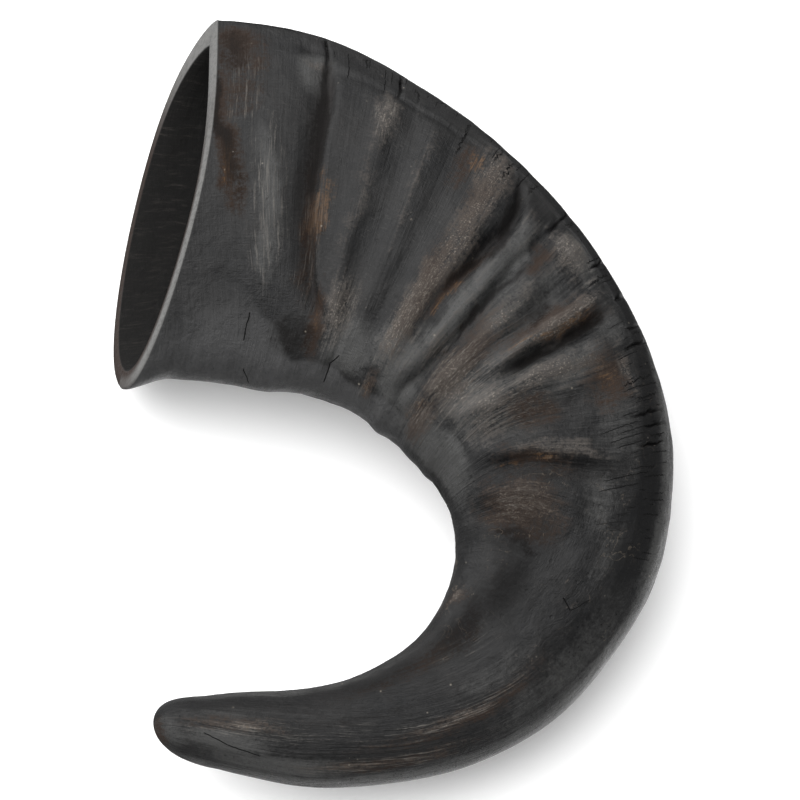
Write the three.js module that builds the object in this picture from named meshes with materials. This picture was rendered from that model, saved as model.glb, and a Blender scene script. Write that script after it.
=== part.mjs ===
// A hollow, flattened buffalo-type horn, lying on its flat side.
// Millimetres. +X east, +Y north, +Z up. The wide mouth faces west, the horn sweeps round
// clockwise through the east, and its closed tip comes back to the west below the mouth.
import * as THREE from 'three';
import { LoftGeometry } from 'three/addons/geometries/LoftGeometry.js';

// ---- driving dimensions -----------------------------------------------------------------

// Stations from the mouth to the tip. keel is the outside of the curve, throat the inside.
// rise and drop are the section's heights above and below the line that joins the two.
const STATIONS = [
  { keel: [-62, 115.3, 34], throat: [-91, -2, 14], rise: 29, drop: 29 },
  { keel: [-24, 108.4, 33], throat: [-52, -9, 20], rise: 26, drop: 27 },
  { keel: [8.5, 90, 30], throat: [-28, -15, 23], rise: 25, drop: 26 },
  { keel: [36.3, 65.8, 28], throat: [-10, -26, 24], rise: 24, drop: 27 },
  { keel: [62, 33.5, 26], throat: [5, -40.5, 24], rise: 23, drop: 26.5 },
  { keel: [79, -3, 24], throat: [13, -51, 24], rise: 22, drop: 24.5 },
  { keel: [85, -38, 22], throat: [16, -64, 22], rise: 20, drop: 22.5 },
  { keel: [79, -74, 20], throat: [14.1, -77, 20], rise: 18, drop: 20.5 },
  { keel: [64, -100, 18], throat: [7.5, -89.5, 18], rise: 17, drop: 18 },
  { keel: [45.6, -120, 17], throat: [-2.5, -99, 17], rise: 15, drop: 15 },
  { keel: [18, -134.4, 16], throat: [-18.5, -107, 16], rise: 14, drop: 14 },
  { keel: [-11, -140, 16], throat: [-37, -110.4, 16], rise: 13, drop: 13 },
  { keel: [-35, -140, 17], throat: [-52, -111.2, 17], rise: 12, drop: 12 },
  { keel: [-59, -135, 18], throat: [-66, -113, 18], rise: 11, drop: 11 },
  { keel: [-75, -133, 19], throat: [-79.5, -112.5, 19], rise: 10, drop: 10 },
];
const LAST = STATIONS.length - 1;
const TIP_STARTS = LAST - 1;

// Grooves across the flat sides, between the growth ridges: the stations where each one
// meets the keel and the throat, its depth, and its half width in stations.
const GROOVES = [
  { keel: 1.0, throat: 1.6, depth: 1.6, width: 0.16 },
  { keel: 2.0, throat: 2.1, depth: 1.3, width: 0.13 },
  { keel: 2.5, throat: 2.6, depth: 1.6, width: 0.14 },
  { keel: 3.2, throat: 3.2, depth: 3.2, width: 0.15 },
  { keel: 3.58, throat: 3.5, depth: 1.4, width: 0.1 },
  { keel: 4.05, throat: 3.85, depth: 2.2, width: 0.12 },
  { keel: 4.55, throat: 4.2, depth: 2.8, width: 0.15 },
  { keel: 5.45, throat: 4.8, depth: 1.2, width: 0.2 },
  { keel: 6.05, throat: 5.45, depth: 1.8, width: 0.15 },
  { keel: 7.0, throat: 6.3, depth: 1.2, width: 0.25 },
];

const MOUTH_LEAN = 28 * Math.PI / 180; // how far the sawn rim leans back, so it faces up
const MOUTH_SKEW = 0.5;                // how far the upper side slides towards the throat
const LEAN_ENDS = 4;                   // station where the sections stand upright
const LIP_FLARE = 5;                   // how far the rim turns out at the throat
const LIP_ENDS = 0.35;                 // station where the flare starts

// Powers of the section's height near the keel: above 1 is pointed, below 1 is blunt.
const MOUTH_POINT = { above: 2.1, below: 1.6 };
const MIDDLE_POINT = 0.72;
const POINT_ENDS = 2.4;                // station where the keel is blunt
const BLUNT_ENDS = [5, 9];             // stations over which the section turns elliptic

const KEEL_WALL = 10;                  // solid corner of the rim at the keel
const THROAT_WALL = 6.5;               // rim at the throat
const SIDE_WALL = 4.5;                 // rim on the flat sides
const HOLLOW_NARROWS = 3.5;            // station where the hollow starts to narrow
const HOLLOW_END = 7.5;                // station where it closes

const OUTER_ROWS = 84;
const DOME_ROWS = 8;
const INNER_ROWS = 14;
const AROUND = 32;

// ---- the horn's surface -----------------------------------------------------------------

const { smoothstep, lerp } = THREE.MathUtils;
const curve = (point) => new THREE.CatmullRomCurve3(
  STATIONS.map((s) => new THREE.Vector3(...point(s))), false, 'catmullrom', 0.5);
const keelCurve = curve((s) => s.keel);
const throatCurve = curve((s) => s.throat);
const girthCurve = curve((s) => [s.rise, s.drop, 0]);

const fade = (x) => 1 - smoothstep(x, 0, 1);

// Depth of the grooves at a station and at a place across the section, -1 throat to 1 keel.
function grooveDepth(station, across) {
  const sum = GROOVES.reduce((total, groove) => {
    const middle = lerp(groove.throat, groove.keel, (across + 1) / 2);
    const x = (station - middle) / groove.width;
    return total + groove.depth * Math.exp(-x * x);
  }, 0);
  return sum * smoothstep(0.97 - Math.abs(across), 0, 0.4);
}

// Power of the section's height at the keel, on the upper or the lower side.
function keelPower(station, mouthPoint) {
  const middle = lerp(mouthPoint, MIDDLE_POINT, smoothstep(station, 0, POINT_ENDS));
  return lerp(middle, 1, smoothstep(station, ...BLUNT_ENDS));
}

// One cross-section: the ring of points at a station, counted from 0 at the mouth.
// size shrinks the ring towards its centre line, and wall moves it inwards.
function section(station, size, wall) {
  const t = Math.min(station / LAST, 1);
  const keel = keelCurve.getPoint(t);
  const throat = throatCurve.getPoint(t);
  const outward = throat.clone().sub(keel).normalize();
  throat.addScaledVector(outward, LIP_FLARE * fade(station / LIP_ENDS));
  const [rise, drop] = girthCurve.getPoint(t).toArray();
  const centre = keel.clone().add(throat).multiplyScalar(0.5);
  const half = keel.clone().sub(throat).multiplyScalar(0.5);
  const length = half.length();
  const upright = fade(station / LEAN_ENDS);
  const lean = MOUTH_LEAN * upright;
  const up = new THREE.Vector3(Math.sin(lean), 0, Math.cos(lean));
  up.addScaledVector(half, -up.dot(half) / half.lengthSq()).normalize();
  up.addScaledVector(half, -MOUTH_SKEW * upright / length);
  const ring = [];
  for (let i = 0; i < AROUND; i += 1) {
    const angle = -2 * Math.PI * i / AROUND;
    const c = Math.cos(angle);
    const s = Math.sin(angle);
    const power = keelPower(station, s > 0 ? MOUTH_POINT.above : MOUTH_POINT.below);
    const sharp = c > 0 ? lerp(1, power, c) : 1;
    const reach = 1 - (c > 0 ? wall.keel : wall.throat) / length;
    const groove = wall.side > 0 ? 0 : grooveDepth(station, c);
    const height = (s > 0 ? rise : drop) - wall.side - groove;
    ring.push(centre.clone()
      .addScaledVector(half, c * reach * size)
      .addScaledVector(up, Math.sign(s) * Math.abs(s) ** sharp * height * size));
  }
  return ring;
}

// ---- outside, rim and hollow ------------------------------------------------------------

const NO_WALL = { keel: 0, throat: 0, side: 0 };
const WALL = { keel: KEEL_WALL, throat: THROAT_WALL, side: SIDE_WALL };

// Rows from one station to another, evenly spaced: pairs of a station and a size of 1.
function evenRows(from, to, count) {
  return Array.from({ length: count }, (_, i) => [lerp(from, to, i / count), 1]);
}

// Rows that round off to a point at the second station: pairs of a station and a size.
function domeRows(from, to, count) {
  return Array.from({ length: count + 1 }, (_, i) => {
    const angle = Math.PI / 2 * i / count;
    return [lerp(from, to, Math.sin(angle)), i < count ? Math.cos(angle) : 0];
  });
}

// The loft runs from the tip back to the rim, over it, and down into the hollow.
function rings() {
  const outside = [
    ...evenRows(0, TIP_STARTS, OUTER_ROWS),
    ...domeRows(TIP_STARTS, LAST, DOME_ROWS),
  ];
  const hollow = [
    ...evenRows(0, HOLLOW_NARROWS, INNER_ROWS),
    ...domeRows(HOLLOW_NARROWS, HOLLOW_END, DOME_ROWS),
  ];
  return [
    ...outside.reverse().map(([station, size]) => section(station, size, NO_WALL)),
    ...hollow.map(([station, size]) => section(station, size, WALL)),
  ];
}

const geometry = new LoftGeometry(rings());
geometry.computeBoundingBox();
const box = geometry.boundingBox;
geometry.translate(-(box.min.x + box.max.x) / 2, -(box.min.y + box.max.y) / 2, -box.min.z);

const horn = new THREE.Mesh(
  geometry,
  new THREE.MeshStandardMaterial({ color: 0x2a2a2b, roughness: 0.45, metalness: 0 }));
horn.name = 'horn';

const model = new THREE.Group();
model.add(horn);
export default model;
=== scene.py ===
"""A black, flattened, buffalo-type horn, lying on its flat side on a pale floor.

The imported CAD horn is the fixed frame. This script rebuilds the same loft at a fine
resolution, with its growth ridges, keel edge, cracks and worn rim, and gives it a
procedural horn material. The horn is worked out in millimetres and written in metres.

A place on the horn is a station, from 0 at the mouth to 14 at the tip, and an angle in
degrees, from 0 at the keel (outside of the bend) to 180 at the throat (inside of it), the
same on the upper side and on the underside.
"""

import math
from types import SimpleNamespace

import bpy
import numpy as np
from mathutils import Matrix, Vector


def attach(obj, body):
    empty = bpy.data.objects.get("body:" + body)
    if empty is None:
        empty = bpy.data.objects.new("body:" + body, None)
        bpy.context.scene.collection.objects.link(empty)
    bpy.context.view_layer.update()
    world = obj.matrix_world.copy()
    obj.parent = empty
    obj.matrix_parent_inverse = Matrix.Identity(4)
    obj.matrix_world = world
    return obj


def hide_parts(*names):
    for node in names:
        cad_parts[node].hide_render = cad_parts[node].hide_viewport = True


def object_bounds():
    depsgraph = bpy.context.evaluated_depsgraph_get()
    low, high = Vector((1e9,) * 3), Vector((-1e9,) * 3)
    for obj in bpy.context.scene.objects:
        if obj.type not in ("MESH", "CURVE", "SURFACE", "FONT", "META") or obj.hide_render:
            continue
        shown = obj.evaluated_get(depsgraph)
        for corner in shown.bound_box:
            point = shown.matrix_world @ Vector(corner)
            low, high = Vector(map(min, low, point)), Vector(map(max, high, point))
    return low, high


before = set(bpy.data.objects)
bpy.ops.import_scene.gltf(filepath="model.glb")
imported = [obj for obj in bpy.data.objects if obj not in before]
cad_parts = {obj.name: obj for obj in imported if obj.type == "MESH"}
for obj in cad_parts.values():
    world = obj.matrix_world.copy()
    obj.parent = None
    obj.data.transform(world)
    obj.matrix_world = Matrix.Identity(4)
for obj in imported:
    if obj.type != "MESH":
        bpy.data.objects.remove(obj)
CAD_LOW, CAD_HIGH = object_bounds()

MM = 0.001

# ---- the loft ----------------------------------------------------

# The CAD horn's stations, mouth to tip, in millimetres: keel x y z, throat x y z, rise above
# and drop below the line between them. The throat of the fourth and of the fifth is drawn in
# by up to a millimetre, because lumps stand out there.
STATIONS = np.array([
    [-62, 115.3, 34, -91, -2, 14, 29, 29],
    [-24, 108.4, 33, -52, -9, 20, 26, 27],
    [8.5, 90, 30, -28, -15, 23, 25, 26],
    [36.3, 65.8, 28, -9.5, -25.1, 24, 24, 27],
    [62, 33.5, 26, 5.4, -40, 24, 23, 26.5],
    [79, -3, 24, 13, -51, 24, 22, 24.5],
    [85, -38, 22, 16, -64, 22, 20, 22.5],
    [79, -74, 20, 14.1, -77, 20, 18, 20.5],
    [64, -100, 18, 7.5, -89.5, 18, 17, 18],
    [45.6, -120, 17, -2.5, -99, 17, 15, 15],
    [18, -134.4, 16, -18.5, -107, 16, 14, 14],
    [-11, -140, 16, -37, -110.4, 16, 13, 13],
    [-35, -140, 17, -52, -111.2, 17, 12, 12],
    [-59, -135, 18, -66, -113, 18, 11, 11],
    [-75, -133, 19, -79.5, -112.5, 19, 10, 10],
], float)
LAST = len(STATIONS) - 1
TIP_STARTS = LAST - 1
MOUTH_LEAN = math.radians(28)        # how far the sawn rim leans back, so it faces up
MOUTH_SKEW = 0.5                     # how far the upper side slides towards the throat
LEAN_ENDS = 4.0                      # station where the sections stand upright
LIP_FLARE = 5.0                      # how far the rim turns out at the throat
LIP_ENDS = 0.35                      # station where the flare starts
FAR_RIM_OUT = 1.4                    # how far the rim's lower side stands out westwards
FAR_RIM_ENDS = 0.4                   # station where it starts to

# Powers of the section's height near the keel: above 1 is pointed, below 1 is blunt
POINT_ABOVE, POINT_BELOW, POINT_MIDDLE = 2.1, 1.6, 0.72
POINT_ENDS = 2.4                     # station where the keel is blunt
BLUNT_ENDS = (5.0, 9.0)              # stations over which the section turns elliptic

WALLS = (10.0, 6.5, 4.5)             # rim at the keel, at the throat and on the flat sides
HOLLOW_NARROWS, HOLLOW_END = 3.5, 7.5

# ---- relief of the outside ---------------------------------------

# The keel edge: a crease that cuts a narrow facet off the section beside the keel.
# Stations, the crease's angle, how far the facet is cut, and the height of the lip along it.
CREASE_STATIONS = (0.2, 1.0, 4.8, 5.4, 5.9, 6.6, 7.4, 8.6)
CREASE_ANGLES = (27, 29, 33, 42, 46, 48, 50, 54)
CREASE_CUT = (0.0, 1.0, 1.0, 0.9, 0.8, 0.8, 0.7, 0.0)
CREASE_LIP = (0.0, 0.4, 0.2, 0.1, 0.2, 0.3, 0.2, 0.0)
CREASE_BELOW = 0.5                   # share of it on the underside
FACET_END_STATIONS = (4.0, 5.2)
FACET_END = (0.98, 0.92)             # cosine of the angle where the facet meets the keel
LIP_SPREAD, LIP_DROP = 12, 4.5       # degrees over which it rises from the face and drops

# The thin line beside the lip: stations, its depth, and its place past the crease and half
# width in degrees
CREASE_LINE_STATIONS = (0.8, 1.1, 2.4, 3.0)
CREASE_LINE = (0.0, 0.5, 0.5, 0.0)
CREASE_LINE_PLACE, CREASE_LINE_WIDTH = 3.5, 2.2

# Growth ridges (height above 0) and grooves (below 0) on the flat sides. Each runs from the
# keel to the throat through these stations at 30, 60, 90 and 120 degrees from the keel.
# Then height in mm, half widths in stations towards the mouth and towards the tip, and the
# angles where it fades in and out. About half of the ridges drop steeply towards the tip.
RIDGES = np.array([
    [0.55, 0.50, 0.58, 0.75, 0.7, 0.14, 0.16, 45, 115],
    [0.98, 0.98, 1.04, 1.50, -3.0, 0.17, 0.05, 32, 120],
    [1.62, 1.58, 1.52, 1.76, 1.4, 0.17, 0.14, 34, 125],
    [1.90, 1.88, 1.86, 1.90, -0.4, 0.12, 0.12, 38, 120],
    [2.15, 2.15, 2.15, 2.12, 1.0, 0.16, 0.20, 36, 122],
    [2.46, 2.46, 2.46, 2.40, -0.3, 0.16, 0.14, 34, 125],
    [2.95, 3.06, 2.93, 2.82, 2.4, 0.30, 0.17, 26, 135],
    [3.16, 3.31, 3.14, 3.02, -2.8, 0.065, 0.06, 34, 90],
    [3.40, 3.47, 3.40, 3.20, 2.0, 0.14, 0.14, 42, 138],
    [3.62, 3.62, 3.56, 3.39, -1.2, 0.05, 0.05, 50, 145],
    [3.92, 3.85, 3.81, 3.66, 1.4, 0.14, 0.14, 34, 140],
    [4.04, 4.10, 4.03, 3.84, -1.5, 0.12, 0.09, 64, 92],
    [4.36, 4.38, 4.19, 3.98, 2.7, 0.13, 0.08, 38, 105],
    [4.48, 4.49, 4.34, 4.14, -3.3, 0.055, 0.08, 46, 99],
    [4.76, 4.72, 4.57, 4.27, 2.0, 0.12, 0.16, 46, 128],
    [5.22, 5.22, 5.06, 4.76, -1.4, 0.20, 0.20, 72, 132],
    [6.08, 5.95, 5.60, 5.12, 1.6, 0.18, 0.11, 66, 126],
    [6.34, 6.18, 5.80, 5.34, -1.4, 0.12, 0.17, 70, 130],
    [6.90, 6.55, 6.15, 5.75, 0.9, 0.22, 0.16, 82, 142],
    [7.60, 7.20, 6.75, 6.25, -1.2, 0.22, 0.22, 86, 142],
])
RIDGE_ANGLES = (30, 60, 90, 120)
RIDGE_LINE_ENDS = (20, 140)          # angles past which a ridge's line runs straight on
RIDGE_FADE = 11                      # degrees over which a ridge fades in or out
RIDGE_WANDER = 0.035                 # stations by which noise bends the ridges
UNDERSIDE_SHIFT = 0.06               # stations by which they lie elsewhere on the underside
UNDERSIDE_SHARE = 0.7                # their height on the underside

# Lumps and hollows: station, angle, height, half widths in stations and in degrees
LUMPS = np.array([
    [1.02, 32, -0.8, 0.10, 8],
    [3.90, 38, 0.9, 0.16, 9],
    [4.05, 45, 0.6, 0.10, 8],
    [3.65, 60, 0.5, 0.10, 10],
    [5.05, 57, -0.7, 0.24, 12],
    [5.30, 42, 0.5, 0.20, 8],
    [1.60, 118, 0.7, 0.20, 12],
    [1.95, 140, -0.5, 0.06, 14],
    [1.20, 176, 1.3, 0.26, 30],
    [2.70, 147, 0.4, 0.18, 10],
    [3.60, 152, 0.5, 0.22, 14],
    [3.05, 172, 1.3, 0.14, 22],
    [3.42, 172, -0.7, 0.12, 22],
    [4.30, 165, -0.6, 0.35, 25],
    [4.05, 174, 0.6, 0.12, 20],
    [7.60, 148, 0.5, 0.25, 12],
    [0.80, 22, -0.9, 0.09, 4],
])

# The ridged layer ends at a low step, and the throat beyond it is smooth: stations, the
# angles of the step, by how many degrees they waver, its height, and where it fades out
THROAT_STATIONS = (0.0, 0.5, 1.0, 1.35, 2.0, 3.0, 4.5, 6.0, 8.0)
THROAT_ANGLES = (101, 106, 126, 140, 144, 150, 148, 144, 140)
THROAT_WAVER = 4
THROAT_STEP = 0.25
THROAT_STEP_FADES = (4, 7)

# Unevenness of the whole outside: heights of the broad swells and of the small ripples, and
# how much weaker they are at the tip
SWELLS, RIPPLES = 0.38, 0.16
TIP_CALM = 0.65
TIP_CALM_STATIONS = (6.0, 8.5)

RELIEF_STARTS = 0.12                 # station from which the relief has its full height

# Drying cracks by the keel, on the upper side: station, and angles where each starts and ends
CRACKS = np.array([
    [0.96, 6, 36],
    [1.68, 5, 34],
    [3.65, 10, 46],
    [4.12, 8, 38],
    [4.45, 8, 30],
    [4.72, 10, 34],
    [4.88, 10, 42],
    [5.53, 22, 50],
    [5.66, 20, 42],
    [5.84, 24, 48],
])
CRACK_HALF_WIDTH, CRACK_WANDER = 0.012, 0.01    # stations
CRACK_DEPTH = 1.6

# ---- rows and columns of the mesh --------------------------------

AROUND_ABOVE, AROUND_BELOW = 136, 84
ROWS = ((0.0, 7.4, 255), (7.4, TIP_STARTS, 94))    # from a station to a station, and how many
DOME_ROWS = 18
RIM_ROWS = (0.0, 0.14, 0.5, 0.86)    # across the sawn rim, outside to inside
RIM_ROUND = 0.5                      # how far its two edges lie back
BEHIND_RIM = 12                      # the row that gives the mouth's direction with the first
INNER_ROWS = 24
INNER_DOME_ROWS = 12
MIDDLE_POINTS = 300                  # on the horn's middle line, where its length is measured


def lerp(a, b, t):
    return a + (b - a) * t


def smooth(x, low=0.0, high=1.0):
    """Smoothstep from low to high; works downwards too."""
    t = np.clip((np.asarray(x, float) - low) / (high - low), 0, 1)
    return t * t * (3 - 2 * t)


def natural_spline(points):
    """A function that gives the natural cubic spline through points at 0, 1, 2, ..."""
    n = len(points)
    system = np.eye(n)
    right = np.zeros_like(points)
    for i in range(1, n - 1):
        system[i, i - 1:i + 2] = 1, 4, 1
        right[i] = 6 * (points[i + 1] - 2 * points[i] + points[i - 1])
    bend = np.linalg.solve(system, right)

    def at(t):
        t = np.clip(np.asarray(t, float), 0, n - 1)
        i = np.minimum(t.astype(int), n - 2)
        b = (t - i)[..., None]
        a = 1 - b
        return (a * points[i] + b * points[i + 1]
                + ((a ** 3 - a) * bend[i] + (b ** 3 - b) * bend[i + 1]) / 6)

    return at


station_at = natural_spline(STATIONS)


def noise(x, y, seed, octaves):
    """Smooth value noise from -1 to 1 at the points x, y, in cells of size 1."""
    total, weight = 0.0, 0.0
    for octave in range(octaves):
        table = np.random.default_rng(seed + octave).random((64, 64)) * 2 - 1
        u, v = x * 2 ** octave + 100, y * 2 ** octave + 100
        i, j = np.floor(u).astype(int), np.floor(v).astype(int)
        a, b = smooth(u - i), smooth(v - j)
        i0, j0, i1, j1 = i % 64, j % 64, (i + 1) % 64, (j + 1) % 64
        near, far = lerp(table[i0, j0], table[i1, j0], a), lerp(table[i0, j1], table[i1, j1], a)
        value = lerp(near, far, b)
        total = total + value * 0.5 ** octave
        weight += 0.5 ** octave
    return total / weight


def side_profile(c, power, crease, facet_end, cut):
    """Height of the section, 0 to 1, at c = cos(angle), with a flat facet beside the keel."""
    def full(x):
        return np.sqrt(np.maximum(1 - x * x, 0)) ** np.where(x > 0, 1 + (power - 1) * x, 1.0)

    start = np.cos(np.radians(crease))
    share = np.clip((c - start) / (facet_end - start), 0, 1)
    facet = lerp(full(start), full(facet_end), share)
    on_facet = (c > start) & (c < facet_end)
    return np.where(on_facet, lerp(full(c), facet, cut), full(c))


def loft(s, theta, size, walls=None):
    """Points of the horn at stations s (rows) and angles theta (columns), 0 keel, pi throat."""
    row = station_at(s)
    keel, throat = row[:, 0:3], row[:, 3:6]
    outward = throat - keel
    outward /= np.linalg.norm(outward, axis=1, keepdims=True)
    throat = throat + outward * (LIP_FLARE * (1 - smooth(s, 0, LIP_ENDS)))[:, None]
    centre, half = (keel + throat) / 2, (keel - throat) / 2
    length = np.linalg.norm(half, axis=1, keepdims=True)
    upright = 1 - smooth(s, 0, LEAN_ENDS)
    lean = MOUTH_LEAN * upright
    up = np.stack([np.sin(lean), np.zeros_like(lean), np.cos(lean)], axis=1)
    up -= half * (np.sum(up * half, axis=1, keepdims=True) / length ** 2)
    up /= np.linalg.norm(up, axis=1, keepdims=True)
    up -= half * (MOUTH_SKEW * upright[:, None] / length)
    keel_wall, throat_wall, side_wall = walls or (0, 0, 0)
    c, sine = np.cos(theta)[None, :], np.sin(theta)[None, :]
    above = sine > 0
    mouth_power = np.where(above, POINT_ABOVE, POINT_BELOW)
    power = lerp(mouth_power, POINT_MIDDLE, smooth(s, 0, POINT_ENDS)[:, None])
    power = lerp(power, 1.0, smooth(s, *BLUNT_ENDS)[:, None])
    crease = np.interp(s, CREASE_STATIONS, CREASE_ANGLES)[:, None]
    cut = np.interp(s, CREASE_STATIONS, CREASE_CUT)[:, None] * np.where(above, 1, CREASE_BELOW)
    cut = cut * (0 if walls else 1)
    facet_end = np.interp(s, FACET_END_STATIONS, FACET_END)[:, None]
    height = np.where(above, row[:, 6:7], row[:, 7:8]) - side_wall
    lift = np.sign(sine) * side_profile(c, power, crease, facet_end, cut) * height
    reach = 1 - np.where(c > 0, keel_wall, throat_wall) / length
    far_rim = np.where(above, 0, FAR_RIM_OUT * np.abs(sine))
    far_rim = far_rim * (1 - smooth(s, 0, FAR_RIM_ENDS))[:, None]
    size = np.asarray(size)[:, None, None]
    return (centre[:, None, :]
            + half[:, None, :] * (c * reach)[..., None] * size
            + up[:, None, :] * lift[..., None] * size
            - far_rim[..., None] * np.array([1, 0, 0]))


def ridge_line(stations, angle):
    """Station of a ridge at an angle: a cubic through its four stations."""
    cubic = np.polyfit(RIDGE_ANGLES, stations, 3)
    return np.polyval(cubic, np.clip(angle, *RIDGE_LINE_ENDS))


def throat_share(s, angle):
    """1 on the smooth throat and 0 on the ridged sides, with a scalloped edge between."""
    line = np.interp(s, THROAT_STATIONS, THROAT_ANGLES)
    line = line + THROAT_WAVER * noise(s * 3, angle * 0, 41, 2)
    return smooth(angle - line, -1.5, 2.5)


def ridge_relief(s, angle, above):
    """Growth ridges and grooves, each shifted by another amount on the underside."""
    total = 0.0
    wander = RIDGE_WANDER * noise(s * 2.2, angle / 14, 5, 2)
    for row in RIDGES:
        height, mouthward, tipward, start, end = row[4:]
        shift = np.where(above, 0, UNDERSIDE_SHIFT * np.sin(9 * row[1]))
        x = s - ridge_line(row[:4], angle) - shift - wander
        x = x / np.where(x < 0, mouthward, tipward)
        window = (smooth(angle, start - RIDGE_FADE, start + RIDGE_FADE)
                  * smooth(angle, end + RIDGE_FADE, end - RIDGE_FADE))
        total = total + height * np.exp(-x * x) * window
    return total


def lump_relief(s, angle):
    """Single lumps and hollows."""
    total = 0.0
    for station, place, height, width, spread in LUMPS:
        x, y = (s - station) / width, (angle - place) / spread
        total = total + height * np.exp(-x * x - y * y)
    return total


def crease_relief(s, angle, above):
    """The lip along the crease, and the thin line beside it."""
    past = angle - np.interp(s, CREASE_STATIONS, CREASE_ANGLES)
    rise = np.exp(-np.maximum(past, 0) / LIP_SPREAD)
    drop = np.exp(-(past / LIP_DROP) ** 2)
    lip = np.interp(s, CREASE_STATIONS, CREASE_LIP) * np.where(past > 0, rise, drop)
    line = np.interp(s, CREASE_LINE_STATIONS, CREASE_LINE)
    line = line * np.exp(-((past - CREASE_LINE_PLACE) / CREASE_LINE_WIDTH) ** 2)
    return lip * np.where(above, 1, CREASE_BELOW) - line


def unevenness(s, angle, above):
    """Broad swells and small ripples; the underside takes them from elsewhere in the noise."""
    calm = 1 - TIP_CALM * smooth(s, *TIP_CALM_STATIONS)
    side = np.where(above, 0, 37)
    swells = SWELLS * noise(s * 1.9, angle / 22 + side, 11, 3)
    ripples = RIPPLES * noise(s * 6.5, angle / 9 + side, 21, 2)
    return calm * (swells + ripples)


def crack_relief(s, angle):
    """Depth of the drying cracks: they taper to both ends."""
    total = 0.0
    for station, start, end in CRACKS:
        wander = CRACK_WANDER * noise(angle / 4, angle * 0, int(station * 100), 1)
        x = (s - station - wander) / CRACK_HALF_WIDTH
        window = smooth(angle, start - 3, start + 6) * smooth(angle, end + 3, end - 8)
        total = total + CRACK_DEPTH * np.exp(-x * x) * window
    return total


def relief(s, angle, above):
    """Height in mm over the smooth horn."""
    total = ridge_relief(s, angle, above) + lump_relief(s, angle)
    total = total * np.where(above, 1, UNDERSIDE_SHARE)
    total = total + crease_relief(s, angle, above) + unevenness(s, angle, above)
    fades, gone = THROAT_STEP_FADES
    total = total - THROAT_STEP * throat_share(s, angle) * smooth(s, gone, fades)
    total = total - crack_relief(s, angle) * above
    return total * smooth(s, 0.0, RELIEF_STARTS)


# ---- colour patches ----------------------------------------------

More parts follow.
